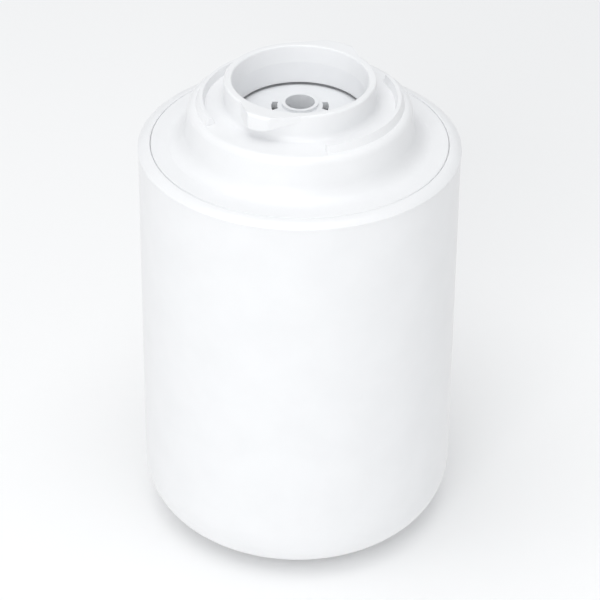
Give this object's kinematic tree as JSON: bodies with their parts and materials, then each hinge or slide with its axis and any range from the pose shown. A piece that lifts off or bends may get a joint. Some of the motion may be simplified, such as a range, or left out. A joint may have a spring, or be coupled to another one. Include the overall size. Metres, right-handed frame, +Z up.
{
  "type": "water purifier filter cartridge",
  "caption": "Sealed round cartridge with a stepped top and a lugged neck that quarter-turns into a water purifier, with a carbon block inside.",
  "frame": {"origin": "middle of the base, on the surface it stands on", "axes": "+Z up along the neck, and the viewer of the picture is towards -Y"},
  "size_m": [0.086, 0.086, 0.134],
  "materials": {
    "housing_plastic": "satin moulded",
    "insert_plastic": "satin moulded",
    "cap_plastic": "matte moulded",
    "net_plastic": "matte extruded",
    "carbon": "sintered, rough",
    "fleece": "matted fibre",
    "bond_glue": "dull",
    "seal_rubber": "smooth",
    "foam": "open foam"
  },
  "bodies": {
    "root": {"sump": "housing_plastic", "head": "housing_plastic", "inlet_insert": "insert_plastic", "stem_ring_upper": "seal_rubber", "stem_ring_lower": "seal_rubber", "top_cap": "cap_plastic", "top_bond": "bond_glue", "carbon_block": "carbon", "core_fleece": "fleece", "core_tube": "cap_plastic", "sediment_wrap": "fleece", "outer_net": "net_plastic", "bottom_bond": "bond_glue", "bottom_cap": "cap_plastic", "base_pad": "foam"}
  },
  "joints": []
}
